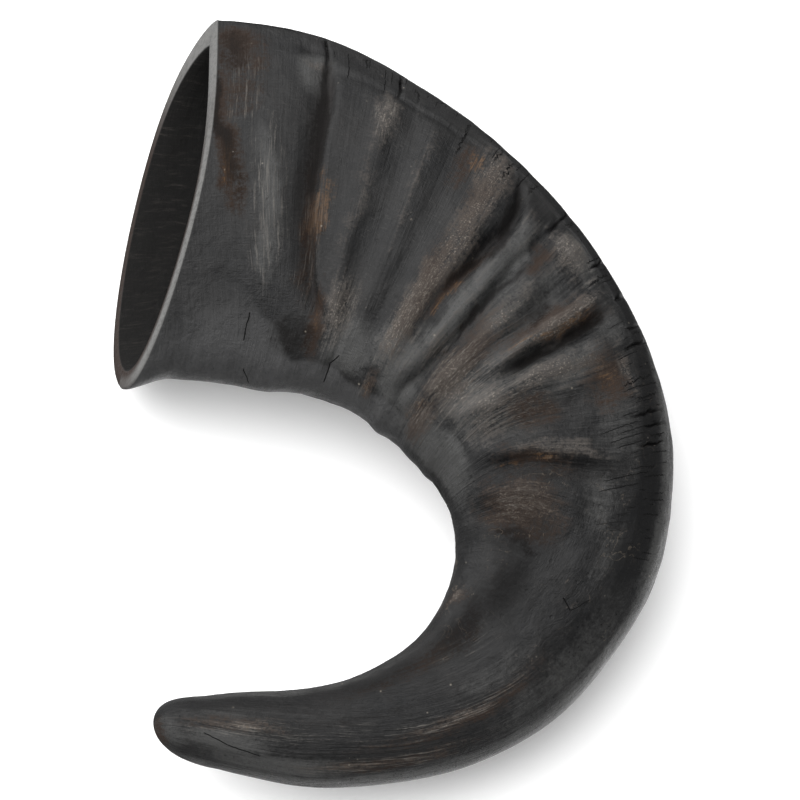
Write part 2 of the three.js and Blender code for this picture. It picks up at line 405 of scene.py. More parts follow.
# Worn and stained places on the upper side, and places of painted shade and painted
# highlights: station, angle, half width in stations, half spread in degrees, slant in
# stations for each 10 degrees, and strength.
PATCHES = {
    "brown": [
        [0.18, 25, 0.20, 13, 0.00, 1.0],
        [0.30, 34, 0.12, 20, 0.00, 0.6],
        [0.06, 47, 0.08, 12, 0.02, 1.0],
        [0.24, 47, 0.18, 9, 0.00, 0.6],
        [0.17, 66, 0.10, 17, 0.08, 1.0],
        [1.06, 92, 0.10, 20, 0.05, 0.8],
        [1.50, 124, 0.10, 15, 0.07, 1.0],
        [2.60, 50, 0.14, 14, 0.00, 0.6],
        [2.95, 60, 0.16, 26, 0.01, 0.7],
        [2.84, 100, 0.17, 24, -0.03, 1.0],
        [3.12, 92, 0.07, 22, -0.08, 0.8],
        [3.76, 60, 0.10, 10, -0.04, 0.8],
        [3.70, 112, 0.26, 24, -0.06, 0.8],
        [4.26, 70, 0.14, 26, -0.08, 0.8],
        [4.85, 98, 0.30, 12, -0.20, 0.6],
        [5.06, 58, 0.28, 13, 0.00, 0.9],
        [5.45, 106, 0.16, 18, -0.20, 0.7],
        [6.02, 118, 0.42, 24, -0.16, 1.0],
        [2.70, 148, 0.12, 9, 0.00, 0.7],
        [3.62, 146, 0.20, 14, 0.00, 0.8],
        [7.50, 148, 0.20, 11, 0.00, 0.6],
        [8.6, 118, 0.90, 12, 0.00, 0.3],
        [9.6, 62, 1.10, 9, -0.10, 0.6],
        [10.6, 38, 0.90, 9, -0.05, 0.6],
        [12.4, 92, 1.10, 12, 0.00, 0.5],
        [9.0, 124, 1.60, 12, 0.10, 0.35],
        [13.9, 60, 0.16, 60, 0.00, 0.8],
    ],
    "orange": [
        [0.22, 72, 0.05, 8, 0.06, 0.6],
        [1.11, 83, 0.11, 11, 0.02, 1.0],
        [1.46, 120, 0.03, 11, 0.08, 0.6],
        [2.70, 44, 0.07, 6, 0.00, 0.7],
        [3.12, 98, 0.03, 12, -0.09, 0.7],
        [4.38, 61, 0.04, 11, -0.01, 0.7],
        [4.25, 82, 0.04, 11, -0.09, 0.8],
        [5.06, 59, 0.22, 10, 0.00, 0.3],
        [5.36, 117, 0.05, 5, -0.15, 1.0],
        [5.50, 101, 0.05, 6, -0.15, 0.8],
        [2.66, 151, 0.05, 5, 0.00, 0.5],
        [3.55, 140, 0.06, 7, 0.00, 0.5],
        [9.6, 64, 0.90, 3, -0.10, 0.2],
        [10.6, 38, 0.80, 4, -0.05, 0.25],
        [12.2, 88, 0.60, 6, 0.00, 0.2],
    ],
    "pale": [
        [0.86, 31, 0.10, 3, 0.00, 1.0],
        [1.58, 46, 0.15, 13, 0.01, 0.8],
        [1.52, 80, 0.13, 26, -0.01, 0.4],
        [1.78, 120, 0.24, 14, 0.04, 0.9],
        [2.14, 66, 0.12, 26, 0.00, 0.35],
        [2.92, 44, 0.22, 16, 0.00, 0.8],
        [2.96, 76, 0.18, 28, -0.03, 0.8],
        [2.76, 110, 0.20, 20, -0.02, 0.9],
        [3.90, 44, 0.30, 9, 0.00, 0.9],
        [3.82, 87, 0.12, 15, -0.05, 0.9],
        [3.80, 120, 0.46, 15, 0.00, 1.0],
        [4.32, 56, 0.06, 18, -0.01, 0.8],
        [4.68, 82, 0.15, 26, -0.10, 1.0],
        [4.45, 118, 0.40, 13, 0.00, 0.9],
        [5.08, 44, 0.28, 4, 0.02, 0.9],
        [5.56, 90, 0.17, 24, -0.15, 0.6],
        [3.62, 143, 0.20, 12, 0.00, 0.7],
        [2.66, 149, 0.12, 8, 0.00, 0.6],
        [4.30, 76, 0.10, 20, -0.07, 1.0],
        [6.00, 117, 0.33, 22, -0.16, 0.8],
        [7.50, 148, 0.18, 8, 0.00, 0.8],
        [7.58, 66, 0.05, 5, 0.00, 0.8],
        [12.2, 90, 0.70, 6, 0.00, 1.0],
        [9.7, 65, 0.90, 4, -0.10, 0.8],
        [10.7, 38, 0.90, 5, -0.05, 0.7],
    ],
    "lines": [
        [0.56, 80, 0.16, 30, 0.06, 0.9],
        [0.26, 46, 0.16, 18, 0.00, 0.5],
        [1.58, 48, 0.12, 9, 0.01, 0.9],
        [1.10, 95, 0.12, 18, 0.05, 1.0],
        [2.80, 112, 0.20, 22, -0.02, 0.9],
        [3.95, 42, 0.28, 8, 0.00, 0.9],
        [3.80, 119, 0.46, 16, 0.00, 1.0],
        [4.34, 58, 0.06, 18, -0.01, 0.8],
        [4.55, 104, 0.34, 16, -0.10, 1.0],
        [5.56, 92, 0.14, 24, -0.15, 0.3],
        [5.98, 118, 0.34, 23, -0.16, 0.6],
        [1.78, 121, 0.22, 14, 0.04, 0.9],
        [3.62, 143, 0.20, 12, 0.00, 0.9],
        [2.66, 149, 0.12, 8, 0.00, 0.8],
        [7.50, 148, 0.18, 8, 0.00, 0.8],
        [8.30, 112, 0.90, 14, 0.00, 0.5],
        [9.70, 66, 1.00, 8, -0.10, 0.9],
        [10.7, 38, 1.00, 9, -0.05, 0.9],
        [12.0, 84, 1.30, 16, 0.00, 0.7],
    ],
    # grey: lighter grey places of the horn, and painted highlights along the keel side of the arm
    # and on the tip's top
    "grey": [
        [0.85, 34, 0.14, 10, 0.00, 0.9],
        [2.90, 126, 0.50, 11, 0.00, 1.0],
        [2.15, 132, 0.45, 13, 0.00, 0.9],
        [4.20, 92, 1.10, 42, 0.00, 0.5],
        [4.10, 121, 0.65, 14, 0.00, 0.8],
        [5.90, 21, 0.60, 9, 0.00, 0.9],
        [6.80, 20, 0.70, 10, 0.00, 0.9],
        [8.60, 12, 1.60, 14, 0.00, 0.9],
        [11.2, 10, 2.00, 16, 0.00, 0.9],
        [11.5, 150, 2.20, 13, 0.00, 0.6],
        [4.30, 152, 1.20, 15, 0.00, 1.0],
        [3.10, 140, 0.35, 11, 0.00, 1.0],
        [0.58, 84, 0.10, 24, 0.06, 0.9],
        [3.46, 74, 0.12, 26, -0.03, 1.0],
        [3.30, 106, 0.14, 16, -0.07, 1.0],
        [4.76, 72, 0.16, 22, -0.04, 1.0],
        [6.30, 72, 0.40, 12, 0.00, 0.5],
        [12.7, 64, 0.65, 19, 0.00, 1.0],
        [12.7, 100, 1.20, 20, 0.00, 0.35],
        [13.7, 70, 0.40, 40, 0.00, 0.7],
        [8.9, 80, 1.00, 12, -0.12, 0.3],
        [6.9, 62, 0.60, 12, 0.06, 0.3],
        [3.82, 87, 0.10, 13, -0.05, 0.9],
        [3.96, 58, 0.14, 9, 0.00, 0.5],
        [5.30, 60, 0.80, 13, 0.00, 0.5],
        [4.60, 46, 0.30, 10, 0.00, 0.6],
        [8.40, 42, 1.20, 16, 0.00, 0.5],
        [12.1, 38, 0.90, 17, 0.00, 1.0],
        [4.00, 40, 0.24, 8, 0.00, 0.9],
    ],
    # dark: darker horn, and painted shade in the grooves at stations 0.88 to 0.96, 3.19 to 3.56
    # and 4.08 to 4.49
    "dark": [
        [0.96, 54, 0.05, 26, 0.00, 1.0],
        [0.88, 62, 0.09, 26, 0.00, 0.35],
        [0.03, 49, 0.035, 14, 0.02, 0.9],
        [0.16, 27, 0.14, 13, 0.00, 0.5],
        [0.15, 64, 0.06, 15, 0.10, 0.7],
        [1.25, 131, 0.30, 9, 0.04, 0.7],
        [3.30, 57, 0.05, 20, 0.03, 0.9],
        [3.19, 82, 0.04, 13, -0.08, 0.8],
        [4.49, 61, 0.05, 16, -0.02, 1.0],
        [4.38, 85, 0.05, 14, -0.09, 0.9],
        [4.08, 75, 0.10, 9, -0.04, 0.6],
        [5.85, 98, 0.14, 22, -0.16, 0.3],
        [6.40, 118, 0.10, 12, -0.14, 0.5],
        [6.75, 108, 0.10, 14, -0.16, 0.4],
        [10.6, 92, 1.40, 6, -0.05, 0.4],
        [3.56, 92, 0.03, 30, -0.05, 0.9],
    ],
    # painted shade: a darker band along the inside of the arm, and a faint broad one near the
    # mouth
    "shade": [
        [0.75, 66, 0.95, 46, 0.00, 0.3],
        [6.70, 114, 0.30, 18, -0.14, 0.8],
        [7.40, 112, 0.90, 16, 0.00, 1.0],
        [8.20, 124, 1.10, 17, 0.00, 1.0],
        [9.70, 132, 1.30, 14, 0.00, 0.7],
        [11.8, 124, 1.40, 13, 0.00, 0.4],
    ],
}
PATCH_SHIFT_BELOW = 0.4              # stations by which the underside's patches are moved
PATCH_WARP = (0.07, 6)               # how far noise moves a patch's edge: stations, degrees

# Single cracks and scratches on the upper side: start and end, each a station and an angle,
# and the width in mm.
SCRATCHES = (
    ((12.97, 73), (12.66, 60), 0.5),
    ((12.66, 60), (12.25, 51), 0.5),
    ((7.48, 60), (7.66, 68), 0.4),
    ((7.66, 68), (7.50, 76), 0.4),
    ((0.70, 121), (0.74, 133), 0.35),
    ((0.86, 150), (0.99, 162), 0.3),
    ((2.03, 137), (1.94, 142), 0.7),
    ((1.94, 142), (1.97, 155), 0.7),
)
SCRATCH_WANDER = 1.2                 # mm

# Fine cracks at random places: how many for each station, seed, least angle past the crease
# where they start, by how many degrees their lengths differ, width as a share of their
# spacing, and the stations over which they set in and over which they die out.
RANDOM_CRACKS = (
    (3.4, 3.0, -24, 34, 0.04, (0.8, 1.0), (6.8, 6.2)),
    (9.0, 7.0, -26, 26, 0.06, (0.8, 1.2), (7.4, 6.8)),
    (13.0, 5.0, -8, 26, 0.07, (4.4, 4.9), (6.9, 6.2)),
)
CRACK_START_SPREAD, CRACK_SHORTEST = 14, 6    # degrees

# The dark strip on the facet beside the crease, painted shade where the facet turns away
# from the light: stations, angles where it starts and ends, and its strength.
DARK_STRIP = (
    (2.4, 3.4, 4.6, 5.2, 5.8, 6.4, 7.0, 7.7),
    (8, 11, 14, 22, 30, 33, 35, 38),
    (22, 24, 28, 38, 47, 52, 57, 60),
    (0, 0.7, 0.9, 1, 1, 1, 0.8, 0),
)

# Millimetres along the middle of the horn for each station, millimetres around the section
# for each degree, and the slant of the growth lines.
STATION_MM = 28
AROUND_STATIONS = (0, 4, 8, 11, 14)
AROUND_MM = (0.75, 0.68, 0.42, 0.26, 0.20)
SLANT_STATIONS = (0.0, 0.8, 1.5, 2.2, 3.2, 4.4, 6.0, 7.5)
SLANT = (-0.40, -0.45, -0.20, 0.0, 0.3, 0.55, 0.8, 0.8)


def growth(s, angle):
    """Station at which the growth line through a point leaves the middle of the flat side."""
    return s + np.interp(s, SLANT_STATIONS, SLANT) * smooth(angle, 50, 130) * angle / 120


def patch_strength(kind, s, angle, above):
    """Strength of one kind of patch, 0 to 1, its edges bent by noise."""
    total = 0.0
    place = np.where(above, s, s + PATCH_SHIFT_BELOW)
    place = place + PATCH_WARP[0] * noise(s * 5, angle / 9, 61, 3)
    angle = angle + PATCH_WARP[1] * noise(s * 3, angle / 7, 71, 3)
    for station, middle, width, spread, slant, strength in PATCHES[kind]:
        y = (angle - middle) / spread
        x = (place - station - slant * (angle - middle) / 10) / width
        total = np.maximum(total, strength * np.exp(-x * x - (y * y) ** 1.3))
    return total


# ---- the mesh ----------------------------------------------------

def dome(start, end, count):
    """Rows that round off to a point: stations and sizes."""
    angle = np.linspace(0, math.pi / 2, count + 1)
    return lerp(start, end, np.sin(angle)), np.maximum(np.cos(angle), 0)


def outer_rows():
    """Stations and sizes of the outside's rows, closer together at each crack."""
    even = [np.linspace(start, end, count, endpoint=False) for start, end, count in ROWS]
    cracks = [station + np.array([-1, 0, 1]) * CRACK_HALF_WIDTH for station in CRACKS[:, 0]]
    s = np.sort(np.concatenate(even + cracks))
    tip_s, tip_size = dome(TIP_STARTS, LAST, DOME_ROWS)
    return np.concatenate([s, tip_s]), np.concatenate([np.ones(len(s)), tip_size])


def surface_normals(grid):
    """Outward unit normals of a grid of points that closes on itself round its columns."""
    along = np.gradient(grid, axis=0)
    around = np.roll(grid, -1, axis=1) - np.roll(grid, 1, axis=1)
    normal = np.cross(along, around)
    normal /= np.linalg.norm(normal, axis=2, keepdims=True) + 1e-9
    return normal


def outside(turn, angle, upper):
    """Stations and points of the outside, with its relief."""
    s, size = outer_rows()
    points = loft(s, turn, size)
    height = relief(s[:, None], angle, upper) * smooth(size, 0, 0.6)[:, None]
    return s, points + surface_normals(points) * height[..., None]


def hollow(turn):
    """Stations and points of the hollow, from the rim to its blind end."""
    rows = np.linspace(0, HOLLOW_NARROWS, INNER_ROWS, endpoint=False)
    end_s, end_size = dome(HOLLOW_NARROWS, HOLLOW_END, INNER_DOME_ROWS)
    s = np.concatenate([rows, end_s])
    size = np.concatenate([np.ones(INNER_ROWS), end_size])
    return s, loft(s, turn, size, WALLS)


def sawn_rim(outer, inner):
    """Rows across the rim. Its two edges lie back a little, the inner one in inner itself."""
    out = outer[0].mean(0) - outer[BEHIND_RIM].mean(0)
    out /= np.linalg.norm(out)
    rim = lerp(outer[0], inner[0], np.array(RIM_ROWS)[:, None, None])
    rim[0] -= out * RIM_ROUND
    inner[0] -= out * RIM_ROUND
    return rim


def grid_faces(rows, columns):
    """Faces of a closed grid whose two end rows are single points, and the vertices it keeps."""
    index = np.arange(rows * columns).reshape(rows, columns)
    faces = []
    for a, b in zip(index[1:-2], index[2:-1]):
        faces.extend(zip(a, np.roll(a, -1), np.roll(b, -1), b))
    first, last = np.full(columns, index[0, 0]), np.full(columns, index[-1, 0])
    faces.extend(zip(first, np.roll(index[1], -1), index[1]))
    faces.extend(zip(index[-2], np.roll(index[-2], -1), last))
    keep = np.ones(rows * columns, bool)
    keep[index[0, 1:]] = False
    keep[index[-1, 1:]] = False
    renumber = np.cumsum(keep) - 1
    return [tuple(int(renumber[v]) for v in face) for face in faces], keep


def length_to(station):
    """Millimetres along the middle of the horn, from the mouth to each station."""
    at = np.linspace(0, LAST, MIDDLE_POINTS)
    row = station_at(at)
    middle = (row[:, 0:3] + row[:, 3:6]) / 2
    steps = np.linalg.norm(np.diff(middle, axis=0), axis=1)
    return np.interp(station, at, np.concatenate([[0], np.cumsum(steps)]))


def surface_fields(station, angle, upper, inside):
    """What the horn material reads at each vertex."""
    # the strip of painted shade on the facet beside the crease
    strip_from, strip_to, strip_strength = (
        np.interp(station, DARK_STRIP[0], row) for row in DARK_STRIP[1:])
    strip = (strip_strength * smooth(angle, strip_from - 4, strip_from + 4)
             * smooth(angle, strip_to + 2, strip_to - 2))
    fields = {
        "station": station,
        "angle": angle,
        "side": upper.astype(float),
        "inside": inside,
        "along": length_to(station),
        "around": angle * np.interp(station, AROUND_STATIONS, AROUND_MM),
        "growth": growth(station, angle),
        "lift": relief(station, angle, upper),
        "throat": throat_share(station, angle),
        "past_crease": angle - np.interp(station, CREASE_STATIONS, CREASE_ANGLES),
        "strip": strip,
    }
    for kind in PATCHES:
        fields[kind] = patch_strength(kind, station, angle, upper) * (inside == 0)
    return fields


def in_cad_place(points):
    """Points in metres, centred on the CAD horn and standing on the same level."""
    low, high = points.min(0), points.max(0)
    place = np.array([(CAD_LOW.x + CAD_HIGH.x) / 2, (CAD_LOW.y + CAD_HIGH.y) / 2, CAD_LOW.z])
    return (points - [(low[0] + high[0]) / 2, (low[1] + high[1]) / 2, low[2]]) * MM + place


def build_horn():
    """The horn's one closed surface: the outside from the tip back, the rim and the hollow."""
    above = np.linspace(0, math.pi, AROUND_ABOVE, endpoint=False)
    below = np.linspace(math.pi, 2 * math.pi, AROUND_BELOW, endpoint=False)
    turn = np.concatenate([above, below])[::-1]
    columns = len(turn)
    angle = np.degrees(np.minimum(turn, 2 * math.pi - turn))
    upper = turn < math.pi

    outer_s, outer = outside(turn, angle[None, :], upper[None, :])
    inner_s, inner = hollow(turn)
    rim = sawn_rim(outer, inner)
    outer, outer_s = outer[:0:-1], outer_s[:0:-1]

    # inside is 0 on the outside, 0.25 to 0.68 across the rim and 1 in the hollow
    parts = [
        (outer, outer_s, np.zeros(len(outer_s))),
        (rim, np.zeros(len(rim)), 0.25 + 0.5 * np.array(RIM_ROWS)),
        (inner, inner_s, np.ones(len(inner_s))),
    ]
    points = np.concatenate([part[0] for part in parts]).reshape(-1, 3)
    station = np.concatenate([np.repeat(part[1], columns) for part in parts])
    inside = np.concatenate([np.repeat(part[2], columns) for part in parts])
    rows = len(points) // columns
    fields = surface_fields(station, np.tile(angle, rows), np.tile(upper, rows), inside)
    faces, keep = grid_faces(rows, columns)

    mesh = bpy.data.meshes.new("horn_surface")
    mesh.from_pydata(in_cad_place(points)[keep].tolist(), [], faces)
    for name, values in fields.items():
        layer = mesh.attributes.new(name, "FLOAT", "POINT")
        layer.data.foreach_set("value", values[keep].astype(np.float32))
    mesh.shade_smooth()
    horn = bpy.data.objects.new("horn_surface", mesh)
    bpy.context.scene.collection.objects.link(horn)
    return horn


# ---- node trees --------------------------------------------------

class Wire:
    """A value in a node tree, with plain arithmetic."""

    def __init__(self, tree, socket):
        self.tree, self.socket = tree, socket

    def calc(self, operation, *others):
        node = self.tree.nodes.new("ShaderNodeMath")
        node.operation = operation
        for slot, value in zip(node.inputs, (self, *others)):
            if isinstance(value, Wire):
                self.tree.links.new(value.socket, slot)
            else:
                slot.default_value = value
        return Wire(self.tree, node.outputs[0])

    def __add__(self, other):
        return self.calc("ADD", other)

    def __sub__(self, other):
        return self.calc("SUBTRACT", other)

    def __mul__(self, other):
        return self.calc("MULTIPLY", other)

    def invert(self):
        return (self * -1) + 1

    def step(self, low, high, to_low=0.0, to_high=1.0):
        """Smoothstep from low to high; works downwards too."""
        if low > high:
            low, high, to_low, to_high = high, low, to_high, to_low
        node = self.tree.nodes.new("ShaderNodeMapRange")
        node.interpolation_type = "SMOOTHSTEP"
        limits = {"From Min": low, "From Max": high, "To Min": to_low, "To Max": to_high}
        for name, value in limits.items():
            node.inputs[name].default_value = value
        self.tree.links.new(self.socket, node.inputs["Value"])
        return Wire(self.tree, node.outputs["Result"])


# ---- stage: floor, light, camera ---------------------------------

FLOOR_HALF = 3.0                     # half the floor's width, in metres
FLOOR_GLOW = 0.18                    # keeps the floor pale in the shadow


def build_floor():
    mesh = bpy.data.meshes.new("floor")
    r = FLOOR_HALF
    mesh.from_pydata([(-r, -r, 0), (r, -r, 0), (r, r, 0), (-r, r, 0)], [], [(0, 1, 2, 3)])
    floor = bpy.data.objects.new("floor", mesh)
    bpy.context.scene.collection.objects.link(floor)
    material = bpy.data.materials.new("pale_floor")
    material.use_nodes = True
    shader = material.node_tree.nodes["Principled BSDF"]
    shader.inputs["Base Color"].default_value = (0.9, 0.9, 0.9, 1)
    shader.inputs["Emission Color"].default_value = (1, 1, 1, 1)
    shader.inputs["Emission Strength"].default_value = FLOOR_GLOW
    shader.inputs["Roughness"].default_value = 0.9
    shader.inputs["Specular IOR Level"].default_value = 0.1
    mesh.materials.append(material)
    floor.visible_glossy = False     # the horn doesn't reflect it


SKY_TOWARDS = (-0.45, 0.42, 0.79)    # direction of the brightest part of the sky
SKY_DARK, SKY_BRIGHT = 0.3, 3.4
SKY_SPREAD = (0.3, 1.0)              # cosines of the angle from it, dark to bright
GLARE_TOWARDS = (0.55, -0.35, -0.76)
GLARE = 1.4                          # light thrown up by the floor to the south-east
GLARE_SPREAD = (0.6, 0.88)
SOFTBOX_AT = Vector((-0.8, 0.6, 0.7))
SOFTBOX_SIZE = (1.0, 0.8)
SOFTBOX_WATTS = 3


def sky_glow(world_tree, towards, spread, dark, bright):
    """Strength of the light from each direction: bright towards one, and dark away from it."""
    nodes, links = world_tree.nodes, world_tree.links
    direction = nodes.new("ShaderNodeTexCoord")
    cosine = nodes.new("ShaderNodeVectorMath")
    cosine.operation = "DOT_PRODUCT"
    cosine.inputs[1].default_value = towards
    links.new(direction.outputs["Generated"], cosine.inputs[0])
    return Wire(world_tree, cosine.outputs["Value"]).step(*spread, dark, bright)


def build_light():
    """A pale studio: a broad soft light from the north-west and above, and a softbox."""
    world = bpy.data.worlds.new("studio")
    bpy.context.scene.world = world
    world.use_nodes = True
    sky = sky_glow(world.node_tree, SKY_TOWARDS, SKY_SPREAD, SKY_DARK, SKY_BRIGHT)
    glare = sky_glow(world.node_tree, GLARE_TOWARDS, GLARE_SPREAD, 0.0, GLARE)
    background = world.node_tree.nodes["Background"]
    background.inputs["Color"].default_value = (1, 1, 1, 1)
    world.node_tree.links.new((sky + glare).socket, background.inputs["Strength"])

    softbox = bpy.data.lights.new("softbox", "AREA")
    softbox.shape = "RECTANGLE"
    softbox.size, softbox.size_y = SOFTBOX_SIZE
    softbox.energy = SOFTBOX_WATTS
    lamp = bpy.data.objects.new("softbox", softbox)
    lamp.location = SOFTBOX_AT
    lamp.rotation_euler = (-SOFTBOX_AT).to_track_quat("-Z", "Y").to_euler()
    bpy.context.scene.collection.objects.link(lamp)


CAMERA_ELEVATION = math.radians(68)
CAMERA_DISTANCE = 1.1
SENSOR_WIDTH = 36                    # mm
FRAME_WIDTH = 0.256                  # what the picture spans at the point it aims at
AIM = Vector((0.0036, -0.0013, 0.022))


def build_camera():
    camera = bpy.data.cameras.new("camera")
    camera.sensor_width = SENSOR_WIDTH
    camera.lens = SENSOR_WIDTH * CAMERA_DISTANCE / FRAME_WIDTH
    view = bpy.data.objects.new("camera", camera)
    back = Vector((0, -math.cos(CAMERA_ELEVATION), math.sin(CAMERA_ELEVATION)))
    view.location = AIM + back * CAMERA_DISTANCE
    view.rotation_euler = (-back).to_track_quat("-Z", "Y").to_euler()
    bpy.context.scene.collection.objects.link(view)
    bpy.context.scene.camera = view
    bpy.context.scene.view_settings.view_transform = "Standard"


# ---- the horn material -------------------------------------------

class HornGraph:
    """Short names for the nodes that the horn material is made of."""

    def __init__(self, tree):
        self.tree = tree
        self.object_space = tree.nodes.new("ShaderNodeTexCoord").outputs["Object"]

    def field(self, name):
        node = self.tree.nodes.new("ShaderNodeAttribute")
        node.attribute_name = name
        return Wire(self.tree, node.outputs["Fac"])

    def join(self, x, y, z):
        node = self.tree.nodes.new("ShaderNodeCombineXYZ")
        for slot, value in zip(node.inputs, (x, y, z)):
            if isinstance(value, Wire):
                self.tree.links.new(value.socket, slot)
            else:
                slot.default_value = value
        return node.outputs[0]

    def noise(self, scale, where, detail, rough=0.55, bend=0.0):
        """Noise in the space where, or in the object's own space if that is None."""
        node = self.tree.nodes.new("ShaderNodeTexNoise")
        self.tree.links.new(where or self.object_space, node.inputs["Vector"])
        settings = {"Scale": scale, "Detail": detail, "Roughness": rough, "Distortion": bend}
        for name, value in settings.items():
            node.inputs[name].default_value = value
        return Wire(self.tree, node.outputs["Fac"])

    def dots(self, scale, share, radius):
        """Sparse dots: 1 at the middle of a share of the cells of a Voronoi pattern."""
        node = self.tree.nodes.new("ShaderNodeTexVoronoi")
        self.tree.links.new(self.object_space, node.inputs["Vector"])
        node.inputs["Scale"].default_value = scale
        split = self.tree.nodes.new("ShaderNodeSeparateColor")
        self.tree.links.new(node.outputs["Color"], split.inputs[0])
        chosen = Wire(self.tree, split.outputs[0]).calc("LESS_THAN", share)
        return Wire(self.tree, node.outputs["Distance"]).step(radius, radius * 0.4) * chosen

    def random(self, value, seed):
        node = self.tree.nodes.new("ShaderNodeTexWhiteNoise")
        node.noise_dimensions = "1D"
        self.tree.links.new((value + seed).socket, node.inputs["W"])
        return Wire(self.tree, node.outputs["Value"])

    def blend(self, share, first, second):
        """Mix of two colours, each a colour or a Color socket."""
        node = self.tree.nodes.new("ShaderNodeMix")
        node.data_type = "RGBA"
        node.clamp_factor = True
        self.tree.links.new(share.socket, node.inputs[0])
        for slot, value in ((node.inputs[6], first), (node.inputs[7], second)):
            if isinstance(value, tuple):
                slot.default_value = (*value, 1)
            else:
                self.tree.links.new(value, slot)
        return node.outputs[2]


def crack_marks(graph, per_station, seed, first, spread, width):
    """Thin lines that start near the crease, at random places, and run random lengths."""
    station, angle = graph.field("station"), graph.field("past_crease")
    wiggle = graph.noise(0.55, graph.join(angle, station * 4, seed), 2) - 0.5
    place = station * per_station + wiggle * 0.35 + graph.field("side") * 50
    cell = place.calc("FLOOR")
    offset = place - cell - graph.random(cell, seed) * 0.6 - 0.2
    line = offset.calc("ABSOLUTE").step(width, width * 0.3)
    start = graph.random(cell, seed + 11) * CRACK_START_SPREAD + first
    reach = graph.random(cell, seed + 23)
    end = start + reach * reach * spread + CRACK_SHORTEST
    return line * (angle - start).step(0, 3) * (angle - end).step(0, -5)


def scratch(graph, start, end, width):
    """A thin wandering line between two places, in mm along and around the horn."""
    around_mm = float(np.interp(start[0], AROUND_STATIONS, AROUND_MM))
    run = Vector(((end[0] - start[0]) * STATION_MM, (end[1] - start[1]) * around_mm))
    length = run.length
    run /= length
    along = (graph.field("station") - start[0]) * STATION_MM
    across = (graph.field("angle") - start[1]) * around_mm
    reach = along * run.x + across * run.y
    wander = (graph.noise(180, None, 3, 0.6) - 0.5) * SCRATCH_WANDER
    offset = across * run.x - along * run.y + wander
    return (offset.calc("ABSOLUTE").step(width / 2, width / 6) * reach.step(-0.3, 0.4)
            * reach.step(length + 0.3, length - 0.4) * graph.field("side"))


def grain_patterns(graph):
    """Streaks, wrinkles, hairlines, grit and spots, shared by colour, gloss and fine relief."""
    station, side, throat = graph.field("station"), graph.field("side"), graph.field("throat")
    along, around, growth_line = graph.field("along"), graph.field("around"), graph.field("growth")

    # spaces in about millimetres, squeezed along the way in which a pattern is drawn out
    side_space = side * 60
    fibre_space = graph.join(along * 0.05, around, side_space)
    growth_space = graph.join(growth_line * 33, around * 0.06, side_space)
    wrinkle_space = graph.join(growth_line * 33, around * 0.3, side_space)
    hair_space = graph.join(growth_line * 5, around * 1.2, side_space)
    toward_tip = station.step(7.2, 9.0)

    def along_grain(scale, detail, rough):
        """Streaks that follow the growth lines, and the fibres of the smooth end."""
        first = graph.noise(scale, growth_space, detail, rough)
        last = graph.noise(scale * 1.5, fibre_space, detail, rough)
        return first * toward_tip.invert() + last * toward_tip

    skin = SimpleNamespace(toward_tip=toward_tip)
    skin.grain = along_grain(0.5, 6, 0.75)
    skin.lines = along_grain(1.3, 3, 0.8)
    wrinkled = toward_tip.invert() * station.step(0.9, 1.4)
    wrinkle = graph.noise(1.7, wrinkle_space, 4, 0.7, 0.8)
    skin.wrinkle = wrinkle * wrinkled + skin.lines * wrinkled.invert()
    skin.hair = graph.noise(1.6, hair_space, 3, 0.7)
    skin.hair_share = toward_tip.invert() * throat.step(1.0, 0.0, 0.4, 1.0)
    skin.blotch = graph.noise(160, None, 5, 0.62, 0.5)
    skin.cloud = graph.noise(40, None, 4, 0.55)
    skin.grit = graph.noise(900, None, 3, 0.75)
    skin.fine_grit = graph.noise(1700, None, 2, 0.7)
    skin.specks = graph.dots(420, 0.10, 0.20) * skin.blotch.step(0.52, 0.62)
    skin.pits = graph.dots(260, 0.10, 0.22)

    # the grain is calmer on the arm and by the mouth
    smoothed = station.step(5.8, 6.8) * station.step(9.5, 8.2)
    skin.calm = (smoothed * -0.75 + 1) * station.step(2.2, 3.2, 0.6, 1.0)
    skin.mottle = ((skin.grain - 0.5) * skin.calm * 2.4 + (skin.grit - 0.5) * 1.6
                   + (skin.blotch - 0.5) * 1.2)
    return skin


def all_cracks(graph):
    """The cracks at random places beside the crease, and the single cracks and scratches."""
    station = graph.field("station")
    marks = [crack_marks(graph, *kind) * station.step(*starts) * station.step(*ends)
             for *kind, starts, ends in RANDOM_CRACKS]
    marks += [scratch(graph, *place) for place in SCRATCHES]
    cracks = marks[0]
    for mark in marks[1:]:
        cracks = cracks.calc("MAXIMUM", mark)
    return cracks


